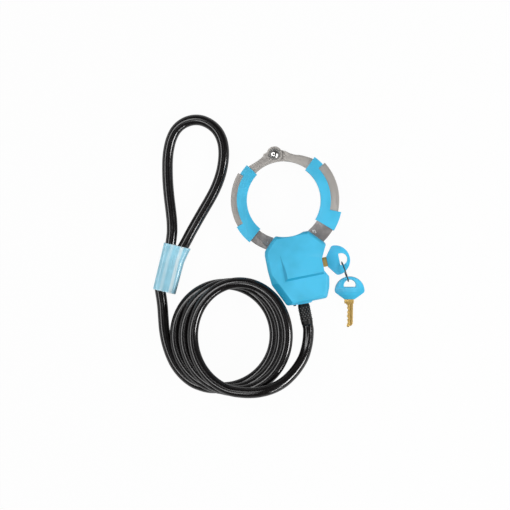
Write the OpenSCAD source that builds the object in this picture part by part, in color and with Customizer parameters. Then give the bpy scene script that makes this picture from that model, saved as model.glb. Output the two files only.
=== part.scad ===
// Cuff-type cable lock, lying flat.
// Origin at the centre of the cuff's opening, half-way through its thickness.
// +Y runs to the hinge, +X to the key and +Z to the front cover.

/* [Cuff] */
// Radius of the opening inside the bumpers
opening_r = 34.2; // [33:0.1:35.2]
// Inner radius of the steel arms
steel_ri = 36; // [35:0.1:38]
// Outer radius of the swing arm between its collars
steel_ro = 51.3; // [50:0.1:52]
// Outer radius of the narrow necks near the hinge
neck_ro = 44.6; // [43:0.1:46]
// Thickness of the steel
steel_t = 7; // [5:0.1:8]
// Distance from the centre of the opening to the hinge
hinge_y = 43.4; // [42:0.1:45]
// Radius of the eyes round the hinge
eye_r = 7.2; // [6.5:0.1:7.6]
// Radius of the hinge rivet's shank
rivet_r = 2.8; // [2:0.1:3.2]

/* [Bumpers] */
// Thickness of the bumpers
bumper_t = 10.4; // [9:0.1:12]
// Outer radius of a bumper between its collars
bumper_ro = 43.5; // [41:0.1:46]
// How far a collar stands out past the steel under it
collar_wall = 1.2; // [0.8:0.1:2]

/* [Lock case] */
// Thickness of the closed case
case_t = 32; // [30:0.5:36]
// Half width of the case on the fixed arm's side
case_left = 27.5; // [27:0.1:30]
// Half width of the case on the swing arm's side
case_right = 29.5; // [29:0.1:32]
// Half width of the case across its two horns
horn_x = 17; // [16:0.1:18]
// Distance from the centre of the opening to the case's far end
case_end = 96.3; // [95.5:0.1:97.5]
// Half width of the case's far end on the fixed arm's side
foot_left = 16.5; // [14:0.1:20]
// Half width of the case's far end on the key's side
foot_right = 21; // [16:0.1:23]
// Wall of the plastic covers
cover_wall = 2.2; // [1.8:0.1:2.6]
// Radius of the covers' corners in plan
cover_corner_r = 3; // [2:0.1:3.5]
// Height of the raised plate at its lower edge
plate_rise = 1.9; // [0.8:0.1:2.5]

/* [Lock cylinder] */
// Distance from the centre of the opening to the key's axis
key_y = 64; // [63:0.1:66]
// Radius of the plug
plug_r = 6; // [5.5:0.1:6.2]
// Radius of the barrel
barrel_r = 8.5; // [8.2:0.1:9]
// Radius of the circle that the cam's pin runs on
cam_throw = 3.6; // [3:0.1:4]
// Number of pin tumblers
pin_count = 4; // [3:1:4]
// Distance from one pin tumbler to the next
pin_pitch = 3.8; // [3.4:0.1:4]
// Radius of a pin tumbler
pin_r = 1.3; // [1:0.05:1.5]

/* [Keys] */
// Width of a key's bow
bow_w = 27.8; // [26:0.2:29]
// Length of a key's bow
bow_l = 21.5; // [20:0.1:22]
// Thickness of a key's bow
bow_t = 2.6; // [2:0.1:3]
// Length of a key's blade outside its bow
blade_l = 27; // [25:0.1:27.2]
// Width of a key's blade
blade_w = 6.6; // [6:0.1:7]
// Thickness of a key's blade
blade_t = 2; // [1.6:0.1:2.2]
// Radius of the key ring to the middle of its wire
ring_r = 9.4; // [9.2:0.1:9.8]
// Thickness of the ring's wire
ring_wire = 1.2; // [0.8:0.1:1.3]

/* [Cable] */
// Diameter of the covered cable
cable_d = 10; // [8:0.1:10]
// Diameter of the bare steel strand
strand_d = 6; // [4:0.1:6.4]
// How far the cable's line through the case lies to the fixed arm's side of the middle
cable_x = 1.4; // [0:0.1:2]
// Diameter of the boot where the cable leaves the case
boot_d = 10.8; // [10.6:0.1:13]
// Length of the boot outside the case
boot_l = 21; // [16:0.5:24]

/* [Ferrule] */
// Length of the ferrule's sleeve
sleeve_l = 44.6; // [40:0.2:50]
// Width of the sleeve along most of its length
sleeve_w = 22.4; // [22.2:0.1:24]
// Width of the sleeve at its flared end
sleeve_flare_w = 25.3; // [24.2:0.1:28]
// Thickness of the sleeve
sleeve_t = 12.4; // [12.2:0.1:14]
// Wall of the sleeve
sleeve_wall = 1; // [0.8:0.1:1]

/* [Clearances] */
// Clearance round a piece that stays where it is put
seat_gap = 0.1; // [0.05:0.05:0.2]
// Clearance round a shaft that turns in its bore
run_gap = 0.05; // [0.03:0.01:0.1]
// Clearance between pieces that pass each other
pass_gap = 0.4; // [0.3:0.05:0.6]

/* [Hidden] */

$fn = 64;
cover_blue = [0.31, 0.74, 0.9];
sleeve_blue = [0.57, 0.82, 0.91];
steel_grey = [0.66, 0.66, 0.64];
dark_steel = [0.44, 0.42, 0.42];
zinc_grey = [0.6, 0.61, 0.62];
brass_yellow = [0.78, 0.62, 0.27];
vinyl_black = [0.07, 0.06, 0.06];

// Cuts run this far past the faces they open
past = 1;
// Longer than anything here, for half spaces and through cuts
far = 400;
floor_z = -case_t / 2;
hinge = [0, hinge_y];

// Angles round the cuff run clockwise from the hinge
function on_ring(r, a) = [r * sin(a), r * cos(a)];
function unit(v) = v / norm(v);
function sum(v, i = 0) = i < len(v) ? v[i] + sum(v, i + 1) : 0;

// A convex outline, counter-clockwise, drawn in by d on every side
function edge_normal(pts, i) = let(e = unit(pts[(i + 1) % len(pts)] - pts[i])) [-e[1], e[0]];
function inset(pts, d) = [for (i = [0 : len(pts) - 1])
  let(n1 = edge_normal(pts, (i + len(pts) - 1) % len(pts)), n2 = edge_normal(pts, i))
  pts[i] + d * (n1 + n2) / (1 + n1 * n2)];

// A wedge from a1 to a2 that reaches radius r
module wedge(r, a1, a2) {
  reach = r / cos((a2 - a1) / 6) + past;
  polygon(concat([[0, 0]], [for (k = [0 : 3]) on_ring(reach, a1 + (a2 - a1) * k / 3)]));
}

// A flat piece of ring about the origin
module ring_sector(r1, r2, a1, a2) {
  intersection() {
    difference() {
      circle(r = r2, $fn = 128);
      circle(r = r1, $fn = 128);
    }
    wedge(r2, a1, a2);
  }
}

// A plate of thickness t half each side of z = 0
module plate(t) {
  translate([0, 0, -t / 2]) linear_extrude(t) children();
}

// ---- Cuff ----

// Where each arm's neck ends, where its two collars begin and end, and where it enters the case
fixed_at = [-35, -47.5, -108.3, -129.4, -153];
swing_at = [47, 58.8, 113.3, 132.8, 150.5];
// Outer radius of each arm under its upper collar, between the collars and below the lower one
fixed_ro = [neck_ro + 1.2, steel_ro - 2.3, steel_ro - 2.9];
swing_ro = [neck_ro + 3.2, steel_ro, steel_ro + 1.7];
// Outer edge of each neck, from the eye to the upper collar: radius past the neck's own, and angle
fixed_neck_edge = [[2.1, -12.3], [0.5, -13.6], [-0.7, -18.8], [-0.9, -26.2], [0.1, -32.5], [0.7, -37]];
swing_neck_edge = [[1.9, 9], [0.8, 13.5], [-0.8, 19], [-1.3, 25.3], [-0.3, 31.3], [0.5, 37.4], [1.6, 43.3],
  [2.3, 48]];
// Where the fixed arm's shoulder meets its eye, measured from the hinge
shoulder_root = [-6, 3.1];
// How much further than its entry the swing arm's outline is drawn before the case's face trims it
entry_lap = 4;
lap_t = steel_t / 3;

// Points of a smooth curve through pts, n to each stretch
function smooth(pts, n = 4) = [for (i = [0 : len(pts) - 2], k = [0 : n - 1])
  let(a = pts[max(i - 1, 0)], b = pts[i], c = pts[i + 1], d = pts[min(i + 2, len(pts) - 1)], t = k / n)
  (2 * b + (c - a) * t + (2 * a - 5 * b + 4 * c - d) * t * t + (3 * b - a - 3 * c + d) * t * t * t) / 2];

// Eye and neck of an arm, with the neck's outer edge given and root any points between the hinge and it
module neck_profile(edge, root) {
  ends = [edge[0][1], edge[len(edge) - 1][1]];
  outer = [for (e = edge) on_ring(neck_ro + e[0], e[1])];
  difference() {
    union() {
      translate(hinge) circle(r = eye_r);
      polygon(concat([hinge], root, smooth(outer), [outer[len(outer) - 1], on_ring(opening_r, ends[1]),
        on_ring(opening_r, 0)]));
    }
    circle(r = steel_ri, $fn = 128);
  }
}

module fixed_neck_profile() {
  neck_profile(fixed_neck_edge, [hinge + shoulder_root]);
}

module swing_neck_profile() {
  neck_profile(swing_neck_edge, []);
}

// Outline of an arm's curved part between its neck and the case: three pieces of ring, each narrower
// one of which runs a little way into the wider one beside it
module arm_profile(at, ro) {
  lap = sign(at[4]) * 3;
  wide = at[1] + lap / 10;
  foot = at[2] + lap / 10;
  arm_piece(ro[0], at[0], wide + lap);
  arm_piece(ro[1], wide, ro[1] > ro[2] ? foot : foot + lap);
  arm_piece(ro[2], ro[1] > ro[2] ? foot - lap : foot, at[4]);
}

module arm_piece(ro, a, b) {
  ring_sector(steel_ri, ro, min(a, b), max(a, b));
}

// How far the foot of the fixed arm stands in the case
foot_x = [-22.6, -13.6];
foot_end = -58;
foot_top = -42;
foot_step = 2.6;
// How far round the ring the foot's curved part runs on past the case's edge
foot_reach = 7.7;
foot_pins = [[-18.1, -45], [-18.1, -53.5]];
foot_pin_r = 1.75;

module fixed_arm_foot(gap = 0) {
  translate([foot_x[0] - gap, foot_end - gap])
    square([foot_x[1] - foot_x[0] + 2 * gap, foot_top - foot_end + 2 * gap]);
  ring_sector(steel_ri + foot_step - gap, fixed_ro[2] - foot_step / 3 + gap,
    fixed_at[4] - foot_reach - 2 * gap, fixed_at[4] + 2);
}

module fixed_arm() {
  color(steel_grey) difference() {
    plate(steel_t) {
      fixed_neck_profile();
      arm_profile(fixed_at, fixed_ro);
      fixed_arm_foot();
    }
    // The slot between the two lugs
    translate([hinge[0], hinge[1], -lap_t / 2 - 2 * run_gap])
      cylinder(r = eye_r + pass_gap, h = lap_t + 4 * run_gap);
    translate([hinge[0], hinge[1], -far / 2]) cylinder(r = rivet_r, h = far);
    for (p = foot_pins) translate([p[0], p[1], -far / 2]) cylinder(r = foot_pin_r, h = far);
  }
}

// The tang is a piece of ring about the hinge, so it leaves the case along its own curve
tang_ri = 82;
tang_ro = 93.4;
tang_end = 6;
tang_root = -18;
// The full thickness of the swing arm's neck begins here, clear of the lugs
lug_clear_a = 12.5;
bolt_x = [-6.6, -1.6];
bolt_t = 5;
bolt_gap = 0.5;

module about_hinge() {
  translate(hinge) rotate(180) children();
}

// Everything outside the case's slanted face on the swing arm's side, less a gap
module swing_side_of_case(gap) {
  face = unit(swing_face[1] - swing_face[0]);
  out = [face[1], -face[0]];
  polygon([swing_face[0] + out * gap - face * far, swing_face[0] + out * gap + face * far,
    swing_face[0] + out * far + face * far, swing_face[0] + out * far - face * far]);
}

module swing_arm_profile() {
  intersection() {
    arm_profile([swing_at[0], swing_at[1], swing_at[2], swing_at[3], swing_at[4] + entry_lap], swing_ro);
    swing_side_of_case(pass_gap);
  }
  about_hinge() ring_sector(tang_ri, tang_ro, tang_root, tang_end);
  intersection() {
    swing_neck_profile();
    wedge(far, lug_clear_a, swing_at[0] + 2);
  }
}

module swing_arm() {
  color(steel_grey) difference() {
    union() {
      plate(steel_t) swing_arm_profile();
      plate(lap_t) swing_neck_profile();
    }
    translate([hinge[0], hinge[1], -far / 2]) cylinder(r = rivet_r + run_gap, h = far);
    translate([bolt_x[0] - bolt_gap, -far, -far / 2])
      cube([bolt_x[1] - bolt_x[0] + 2 * bolt_gap, far + notch_top, far]);
  }
}

// ---- Bumpers ----

// A bumper in outline: a band along the opening, and a collar round the steel at each end
module bumper_profile(at, ro) {
  lap = sign(at[4]) * 3;
  ring_sector(opening_r, bumper_ro, min(at[0] + lap, at[3] - lap), max(at[0] + lap, at[3] - lap));
  ring_sector(opening_r, ro[0] + collar_wall, min(at[0], at[1]), max(at[0], at[1]));
  ring_sector(opening_r, max(ro[1], ro[2]) + collar_wall, min(at[2], at[3]), max(at[2], at[3]));
}

module bumper(at, ro) {
  past_neck = at[0] - sign(at[4]);
  color(cover_blue) difference() {
    plate(bumper_t) bumper_profile(at, ro);
    plate(steel_t) arm_profile(concat([past_neck], [for (i = [1 : 4]) at[i]]), ro);
  }
}

module fixed_arm_bumper() {
  bumper(fixed_at, fixed_ro);
}

module swing_arm_bumper() {
  bumper(swing_at, swing_ro);
}

// ---- Hinge and foot fastenings ----

washer_t = 0.8;
washer_r = 5.3;
rivet_head_r = 3.6;
rivet_head_h = 1.3;

module hinge_rivet() {
  head_z = steel_t / 2 + washer_t;
  ball_r = (rivet_head_r * rivet_head_r + rivet_head_h * rivet_head_h) / (2 * rivet_head_h);
  color([0.9, 0.9, 0.89]) translate([hinge[0], hinge[1], 0]) {
    translate([0, 0, -head_z]) cylinder(r = rivet_r, h = 2 * head_z);
    for (m = [0, 1]) mirror([0, 0, m]) intersection() {
      translate([0, 0, head_z + rivet_head_h - ball_r]) sphere(r = ball_r);
      translate([0, 0, head_z]) cylinder(r = far, h = far);
    }
  }
}

module hinge_washers() {
  color(steel_grey) for (m = [0, 1]) mirror([0, 0, m]) translate([hinge[0], hinge[1], steel_t / 2])
    difference() {
      cylinder(r = washer_r, h = washer_t);
      translate([0, 0, -past]) cylinder(r = rivet_r, h = washer_t + 2 * past);
    }
}

module fixed_arm_pins() {
  color(dark_steel) for (p = foot_pins) translate([p[0], p[1], -foot_pin_l / 2])
    cylinder(r = foot_pin_r, h = foot_pin_l);
}

// ---- Lock case ----

// Corners of the case in plan, counter-clockwise from the fixed arm's horn
case_outline = [[-horn_x - 0.2, -33.4], [-case_left + 1, -43], [-case_left, -47], [-case_left, -62],
  [-case_left + 1, -75], [-foot_left, -case_end], [foot_right, -case_end], [25, -87],
  [case_right - 3, -80], [case_right, -50], [case_right, -46.5], [horn_x - 0.6, -32.3],
  [-horn_x + 2.1, -31.5]];
swing_face = [case_outline[10], case_outline[11]];
half_t = case_t / 2;
waist_x = 23.3;
// Levels of a cover's rounded edge: how far it is drawn in, and how far below the flat face
edge_levels = [[0, 5], [0.5, 2.6], [1.4, 1], [2.8, 0]];
foot_pin_l = 18;
bolt_stroke = 2 * cam_throw * sin(45);
bolt_top = -51.4;
notch_top = bolt_top + bolt_stroke + 0.6;

// A rounded block with the case's outline, drawn in by d, on the side of z = 0 that z points to
module case_shell(d) {
  r = cover_corner_r;
  centres = inset(case_outline, r + d);
  hull() {
    for (c = centres) translate([c[0], c[1], 0]) cylinder(r = r, h = 1, $fn = 24);
    for (lv = edge_levels, c = centres) translate([c[0], c[1], half_t - d - lv[1] - 0.01])
      cylinder(r = r - lv[0], h = 0.01, $fn = 24);
  }
}

// The facet along the front cover's lower left edge: where it begins, how far in it reaches
facet_z = 9.5;
facet_in = 6;
module facet_cut(d) {
  a = case_outline[4];
  e = case_outline[5] - a;
  translate([a[0], a[1], facet_z]) rotate([0, 0, atan2(e[1], e[0])])
    rotate([atan2(half_t - facet_z, facet_in), 0, 0]) translate([-far / 2, -far / 2, -d]) cube(far);
}

// The boss round the cable's way out
boss_t = 18;
module end_boss() {
  plate(boss_t) polygon([[-15.5, 6 - case_end], [-15.5, 0.8 - case_end], [-12, -0.4 - case_end],
    [-4, -1 - case_end], [5.6, -1.3 - case_end], [7.2, -0.4 - case_end], [7.2, 6 - case_end]]);
}

// The step in the case's side where the key goes in: distances past the key's axis, and depths
waist_lower = [7, 13.5];
waist_upper = [4, 15];
waist_lip = 2.6;
module waist_cut(d = 0) {
  x = waist_x - d;
  linear_extrude(far, center = true)
    polygon([[x, -key_y + waist_upper[0] + d], [x, -key_y - waist_lower[0] - d],
      [case_right - waist_lip, -key_y - waist_lower[1] - d], [far, -key_y - waist_lower[1] - d],
      [far, -key_y + waist_upper[1] + d], [case_right - 0.5, -key_y + waist_upper[1] + d]]);
}

// The space that the swing arm's tang passes through
tang_sweep = 60;
module tang_channel() {
  plate(steel_t + 2 * pass_gap) about_hinge()
    ring_sector(tang_ri - pass_gap, tang_ro + pass_gap, -tang_sweep, tang_end + 0.6);
}

module arm_pockets() {
  tang_channel();
  plate(steel_t + 2 * seat_gap) {
    fixed_arm_foot(seat_gap);
    ring_sector(steel_ri - seat_gap, fixed_ro[2] + seat_gap, fixed_at[4] - 0.2, fixed_at[4] + 20);
  }
}

// What passes through the covers: the arms, the lock cylinder, the boot and the opening
module cover_openings() {
  translate([0, 0, -far / 2]) cylinder(r = opening_r, h = far, $fn = 128);
  waist_cut();
  arm_pockets();
  translate([0, -key_y, 0]) rotate([0, 90, 0]) cylinder(r = barrel_r + seat_gap, h = far);
  on_cable_line(-case_end + 10) cylinder(r = boot_d / 2 + seat_gap, h = far);
}

screw_places = [[-13, -72], [16, -79], [-10.5, -88], [14, -89]];
screw_r = 1.5;
screw_head_r = 2.8;
screw_head_h = 2;

module rear_cover() {
  color(cover_blue) difference() {
    union() {
      mirror([0, 0, 1]) case_shell(0);
      intersection() {
        end_boss();
        half_space(false);
      }
    }
    mirror([0, 0, 1]) translate([0, 0, -past]) cover_hollow();
    cover_openings();
    for (p = screw_places) translate([p[0], p[1], -half_t - past]) {
      cylinder(r = screw_r + seat_gap, h = case_t);
      cylinder(r = screw_head_r + seat_gap, h = screw_head_h + past + 0.2);
    }
    translate(plug_place) rotate([90, 0, 0])
      cylinder(r = screw_plug_r, h = far);
  }
}

// The hollow of a cover, from z = 0 up to its wall; it runs on below so that it cuts cleanly
module cover_hollow() {
  difference() {
    linear_extrude(half_t - cover_wall + past) polygon(inset(case_outline, cover_wall));
    translate([0, 0, -far / 2]) cylinder(r = opening_r + cover_wall, h = far, $fn = 128);
    waist_cut(cover_wall);
  }
}

// The raised plate: it grows out of the face towards its lower and left edges, and is left bare
plate_box = [[-11.2, -72], [waist_x + past, -53]];
plate_bevel = [3.2, 2.6];
module raised_plate() {
  z = half_t - 0.4;
  hull() {
    translate([plate_box[0][0] - plate_bevel[0], plate_box[0][1] - plate_bevel[1], z - past])
      cube([plate_box[1][0] - plate_box[0][0] + plate_bevel[0], 30, past]);
    translate([plate_box[0][0], plate_box[0][1], z - past])
      cube([plate_box[1][0] - plate_box[0][0], 5, plate_rise + past + 0.4]);
  }
}

module front_cover() {
  color(cover_blue) difference() {
    union() {
      difference() {
        case_shell(0);
        facet_cut(0);
      }
      raised_plate();
      intersection() {
        end_boss();
        half_space(true);
      }
    }
    difference() {
      translate([0, 0, -past]) cover_hollow();
      facet_cut(cover_wall);
    }
    cover_openings();
  }
}

// The metal block under the covers, whole
module case_block() {
  d = cover_wall + seat_gap;
  h = half_t - cover_wall - seat_gap;
  difference() {
    translate([0, 0, -h]) linear_extrude(2 * h) polygon(inset(case_outline, d));
    translate([0, 0, -far / 2]) cylinder(r = opening_r + d, h = far, $fn = 128);
    waist_cut(d);
    facet_cut(d);
    arm_pockets();
    lock_works();
    anchor_pocket();
    for (p = foot_pins) translate([p[0], p[1], -foot_pin_l / 2 - seat_gap])
      cylinder(r = foot_pin_r, h = foot_pin_l + 2 * seat_gap);
    for (p = screw_places) translate([p[0], p[1], -far / 2 + screw_tip_z]) cylinder(r = screw_r, h = far / 2);
  }
}
screw_tip_z = 8;

module half_space(up) {
  translate([-far / 2, -far / 2, up ? 0 : -far]) cube(far);
}

module case_front() {
  color(zinc_grey) intersection() {
    case_block();
    half_space(true);
  }
}

module case_rear() {
  color(zinc_grey) intersection() {
    case_block();
    half_space(false);
  }
}

module case_screws() {
  color(dark_steel) for (p = screw_places) translate([p[0], p[1], -half_t + 0.2]) difference() {
    union() {
      cylinder(r = screw_head_r, h = screw_head_h);
      cylinder(r = screw_r, h = half_t + screw_tip_z - 0.4);
    }
    translate([0, 0, -past]) cylinder(r = 1.3, h = past + 1.2, $fn = 6);
  }
}

// A small black stopper beside the boot
plug_place = [-9.3, -case_end + cover_wall, -3.5];
screw_plug_r = 1.3;
module screw_plug() {
  color(vinyl_black) translate(plug_place) rotate([90, 0, 0])
    cylinder(r = screw_plug_r, h = cover_wall + 1.9);
}

// ---- Lock cylinder, cam and bolt ----

barrel_x = [0, waist_x];
chimney_w = 5.6;
chimney_top = -52.4;
plug_head_t = 1;
plug_head_r = plug_r + 1.2;
tail_r = 3;
clip_x = -0.9;
cam_x = [-3.4, -1.1];
cam_r = cam_throw + 2.3;
cam_pin_r = 1.4;
cam_pin_end = -6.3;
bolt_plate_x = [bolt_x[0], -3.8];
yoke_gap = 0.3;
pin_xs = [for (i = [0 : pin_count - 1]) 5.5 + i * pin_pitch];
key_pin_tip = blade_w / 2 + 0.3;

// Turns +Z into +X, on the key's axis
module on_key_axis(x = 0) {
  translate([x, -key_y, 0]) rotate([0, 90, 0]) children();
}

module barrel_blank(gap = 0) {
  on_key_axis(barrel_x[0] - gap) cylinder(r = barrel_r + gap, h = barrel_x[1] - barrel_x[0] + 2 * gap);
  translate([barrel_x[0] - gap, -key_y, -chimney_w / 2 - gap])
    cube([pin_xs[pin_count - 1] + pin_r + 1 - barrel_x[0] + 2 * gap,
      chimney_top + key_y + gap, chimney_w + 2 * gap]);
}

module cylinder_barrel() {
  color(brass_yellow) difference() {
    barrel_blank();
    on_key_axis(-past) cylinder(r = plug_r + run_gap, h = far);
    on_key_axis(barrel_x[1] - plug_head_t - run_gap) cylinder(r = plug_head_r + run_gap, h = far);
    for (x = pin_xs) translate([x, -key_y, 0]) rotate([-90, 0, 0]) cylinder(r = pin_r + run_gap, h = pin_cap);
  }
}
pin_cap = chimney_top + key_y - 0.7;

module cylinder_plug() {
  color(brass_yellow) difference() {
    union() {
      on_key_axis(barrel_x[0]) cylinder(r = plug_r, h = barrel_x[1] - barrel_x[0]);
      on_key_axis(barrel_x[1] - plug_head_t) cylinder(r = plug_head_r, h = plug_head_t + 0.3);
      on_key_axis(cam_x[0]) cylinder(r = tail_r, h = barrel_x[0] - cam_x[0]);
    }
    // The keyway, and the groove for the clip
    translate([key_tip_x - 0.6, -key_y - blade_w / 2 - 0.2, -blade_t / 2 - 0.2])
      cube([far, blade_w + 0.4, blade_t + 0.4]);
    on_key_axis(clip_x) difference() {
      cylinder(r = tail_r + past, h = 0.7);
      cylinder(r = tail_r - 0.8, h = 0.7);
    }
    for (x = pin_xs) translate([x, -key_y, 0]) rotate([-90, 0, 0]) cylinder(r = pin_r + run_gap, h = far);
  }
}

module key_pins() {
  color(brass_yellow) for (x = pin_xs) translate([x, -key_y + key_pin_tip, 0]) rotate([-90, 0, 0]) {
    cylinder(r1 = pin_r * 0.5, r2 = pin_r, h = 0.7);
    translate([0, 0, 0.7]) cylinder(r = pin_r, h = plug_r - key_pin_tip - 0.9);
  }
}

driver_l = 2.6;
module driver_pins() {
  color(steel_grey) for (x = pin_xs) translate([x, -key_y + plug_r + 0.2, 0]) rotate([-90, 0, 0])
    cylinder(r = pin_r, h = driver_l);
}

module pin_springs() {
  base = plug_r + 0.2 + driver_l;
  color(steel_grey) for (x = pin_xs) translate([x, -key_y + base, 0]) rotate([-90, 0, 0]) difference() {
    cylinder(r = pin_r - 0.1, h = pin_cap - base);
    translate([0, 0, -past]) cylinder(r = pin_r - 0.4, h = far);
  }
}

module plug_clip() {
  color(dark_steel) on_key_axis(clip_x + 0.05) difference() {
    cylinder(r = plug_r + 1, h = 0.6);
    translate([0, 0, -past]) cylinder(r = tail_r - 0.7, h = far);
    translate([0, -tail_r + 1.2, -past]) cube([far, 2 * tail_r - 2.4, far]);
  }
}

module cam() {
  color(dark_steel) difference() {
    union() {
      on_key_axis(cam_x[0]) cylinder(r = cam_r, h = cam_x[1] - cam_x[0]);
      rotate_about_key(-45) translate([cam_pin_end, -key_y, cam_throw]) rotate([0, 90, 0])
        cylinder(r = cam_pin_r, h = cam_x[0] - cam_pin_end + 1);
    }
    on_key_axis(cam_x[0]) cylinder(r = tail_r, h = far);
  }
}

// Turns a piece about the key's axis
module rotate_about_key(a) {
  translate([0, -key_y, 0]) rotate([-a, 0, 0]) translate([0, key_y, 0]) children();
}

yoke_y = -key_y - cam_throw * sin(45);
bolt_foot = -71.5;
bolt_foot_z = 7;
module locking_bolt() {
  slot = cam_pin_r + yoke_gap;
  color(steel_grey) difference() {
    union() {
      translate([bolt_x[0], bolt_nose_foot, -bolt_t / 2])
        cube([bolt_x[1] - bolt_x[0], bolt_top - bolt_nose_foot, bolt_t]);
      translate([bolt_plate_x[0], bolt_foot, -bolt_foot_z])
        cube([bolt_plate_x[1] - bolt_plate_x[0], bolt_nose_foot + 2 - bolt_foot, 2 * bolt_foot_z]);
    }
    translate([bolt_plate_x[0] - past, yoke_y - slot, cam_throw * cos(45) - slot - 0.2])
      cube([far, 2 * slot, cam_throw * (1 - cos(45)) + 2 * slot + 0.4]);
  }
}
bolt_nose_foot = -57.4;

// The space for the cylinder, cam and bolt inside the metal block
module lock_works() {
  g = pass_gap;
  barrel_blank(seat_gap);
  on_key_axis(barrel_x[1] - past) cylinder(r = barrel_r + seat_gap, h = far);
  on_key_axis(cam_x[0] - g) cylinder(r = max(cam_r, plug_r + 1) + g, h = barrel_x[0] - cam_x[0] + g);
  // The bolt's nose
  translate([bolt_x[0] - g, bolt_nose_foot - 2, -bolt_t / 2 - g])
    cube([bolt_x[1] - bolt_x[0] + 2 * g, 14, bolt_t + 2 * g]);
  // The bolt's plate with its stroke
  translate([bolt_x[0] - g, bolt_foot - g, -bolt_foot_z - g])
    cube([cam_x[0] + g - bolt_x[0] + 0.1, bolt_nose_foot + 2 - bolt_foot + bolt_stroke + 2 * g,
      2 * bolt_foot_z + 2 * g]);
}

// ---- Keys and their ring ----

bow_x = 27.9;
key_tip_x = bow_x - blade_l;
shoulder_w = 9.2;
shoulder_l = 4;
bow_rim = 2.6;
hole_l = 7.4;
hole_w = 11;
cut_depth = 2;
// Depth of each cut and of the peak after it, as shares of the deepest
cuts = [0.8, 1, 0.85, 1, 0.9];
peaks = [0.55, 0.6, 0.5, 0.65, 0.6];
// A key lies along X with its bow's root at x = 0 and its blade towards -X
module blade_outline() {
  half = blade_w / 2;
  step = (blade_l - shoulder_l - 3.5) / len(cuts);
  top = [for (i = [0 : len(cuts) - 1], k = [0 : 2])
    [-shoulder_l - 1 - (i + [0.35, 0.6, 0.95][k]) * step,
      half - (k == 2 ? peaks[i] : cuts[i]) * cut_depth]];
  polygon(concat([[1, -half - 0.7], [1, half + 1.5], [-shoulder_l, half + 1.5], [-shoulder_l - 0.2, half]],
    top, [[-blade_l + 1, half - 0.9], [-blade_l + 0.2, 2], [-blade_l, 0.9], [-blade_l + 1.2, -1.2],
    [-blade_l + 2, -half + 0.8], [-blade_l + 3.6, -half], [-shoulder_l - 0.2, -half],
    [-shoulder_l, -half - 0.7]]));
}

module key_blade_solid() {
  groove = 0.45;
  difference() {
    translate([0, 0, -blade_t / 2]) linear_extrude(blade_t) difference() {
      blade_outline();
      translate([1 - seat_gap, -far / 2]) square(far);
    }
    // A milled groove along each side
    for (m = [0, 1]) mirror([0, 0, m]) translate([-blade_l - past, -1.3, blade_t / 2 - groove])
      cube([blade_l - shoulder_l + past, 1.2, past]);
  }
}

// A bow is round away from the blade and tapers towards it, as shares of half its width
bow_taper = [[0, 0.33], [0.19, 0.6], [0.42, 0.9], [0.5, 0.98], [2, 1.2]];
module bow_profile() {
  r = bow_w / 2;
  side = [for (p = bow_taper) r * p];
  difference() {
    intersection() {
      translate([bow_l - r, 0]) circle(r = r, $fn = 128);
      polygon(concat(side, [for (i = [len(side) - 1 : -1 : 0]) [side[i][0], -side[i][1]]]));
    }
    // The hole: flat towards the blade and round away from it
    intersection() {
      translate([bow_l - bow_rim - hole_w / 2, 0]) circle(r = hole_w / 2);
      translate([bow_l - bow_rim - hole_l, -far / 2]) square(far);
    }
  }
}

module key_bow_solid() {
  half = blade_w / 2;
  difference() {
    plate(bow_t) bow_profile();
    // The socket that the blade's root sits in
    translate([-past, -half - 0.8, -blade_t / 2]) cube([2 + past - seat_gap, 2 * half + 2.4, blade_t]);
  }
}

module at_key() {
  translate([bow_x, -key_y, 0]) children();
}

// The spare key lies with its tip on the table and its bow up on the ring
spare_tilt = 14;
spare_turn = 78.5;
spare_bow_end = [45.95, -81.6, -3.2];
module at_spare_key() {
  translate(spare_bow_end) rotate([0, 0, spare_turn]) rotate([0, -spare_tilt, 0])
    translate([-bow_l, 0, 0]) children();
}

module key_blade() {
  color(brass_yellow) at_key() key_blade_solid();
}

module key_bow() {
  color(cover_blue) at_key() key_bow_solid();
}

module spare_key_blade() {
  color(brass_yellow) at_spare_key() key_blade_solid();
}

module spare_key_bow() {
  color(cover_blue) at_spare_key() key_bow_solid();
}

ring_centre = [42.6, -76.2, -3];
ring_turn = 7.8;
module key_ring() {
  color(steel_grey) translate(ring_centre) rotate([0, 0, ring_turn]) rotate([0, 90, 0])
    rotate_extrude($fn = 96) translate([ring_r, 0]) circle(d = ring_wire, $fn = 24);
}

// ---- Ferrule ----

ferrule_centre = [-116, -41, floor_z + sleeve_t / 2];
ferrule_turn = -25;
crimp_l = 32;
crimp_wall = 1.1;
strand_places = [-cable_d / 2, cable_d / 2 + 0.4];
crimp_middle = (strand_places[0] + strand_places[1]) / 2;
crimp_w = strand_places[1] - strand_places[0] + strand_d + 2 * crimp_wall;

// A point in the ferrule: w across it and v along it
function at_ferrule(w, v) = ferrule_centre
  + [w * cos(ferrule_turn) - v * sin(ferrule_turn), w * sin(ferrule_turn) + v * cos(ferrule_turn), 0];
module in_ferrule(v) {
  translate(ferrule_centre) rotate([0, 0, ferrule_turn]) translate([0, v, 0]) rotate([-90, 0, 0]) children();
}

// A flat-sided oval of width w and thickness t, h long
module oval(w, t, h) {
  linear_extrude(h) {
    for (s = [-1, 1]) translate([s * (w - t) / 2, 0]) circle(d = t);
    square([w - t, t], center = true);
  }
}

module ferrule_crimp() {
  color(zinc_grey) difference() {
    in_ferrule(-crimp_l / 2) translate([crimp_middle, 0, 0])
      oval(crimp_w, strand_d + 2 * crimp_wall, crimp_l);
    for (w = strand_places) in_ferrule(-crimp_l / 2 - past) translate([w, 0, 0])
      cylinder(r = strand_d / 2, h = crimp_l + 2 * past);
  }
}

module ferrule_strands() {
  color(steel_grey) for (w = strand_places) in_ferrule(-crimp_l / 2) translate([w, 0, 0])
    cylinder(r = strand_d / 2, h = crimp_l);
}

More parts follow.
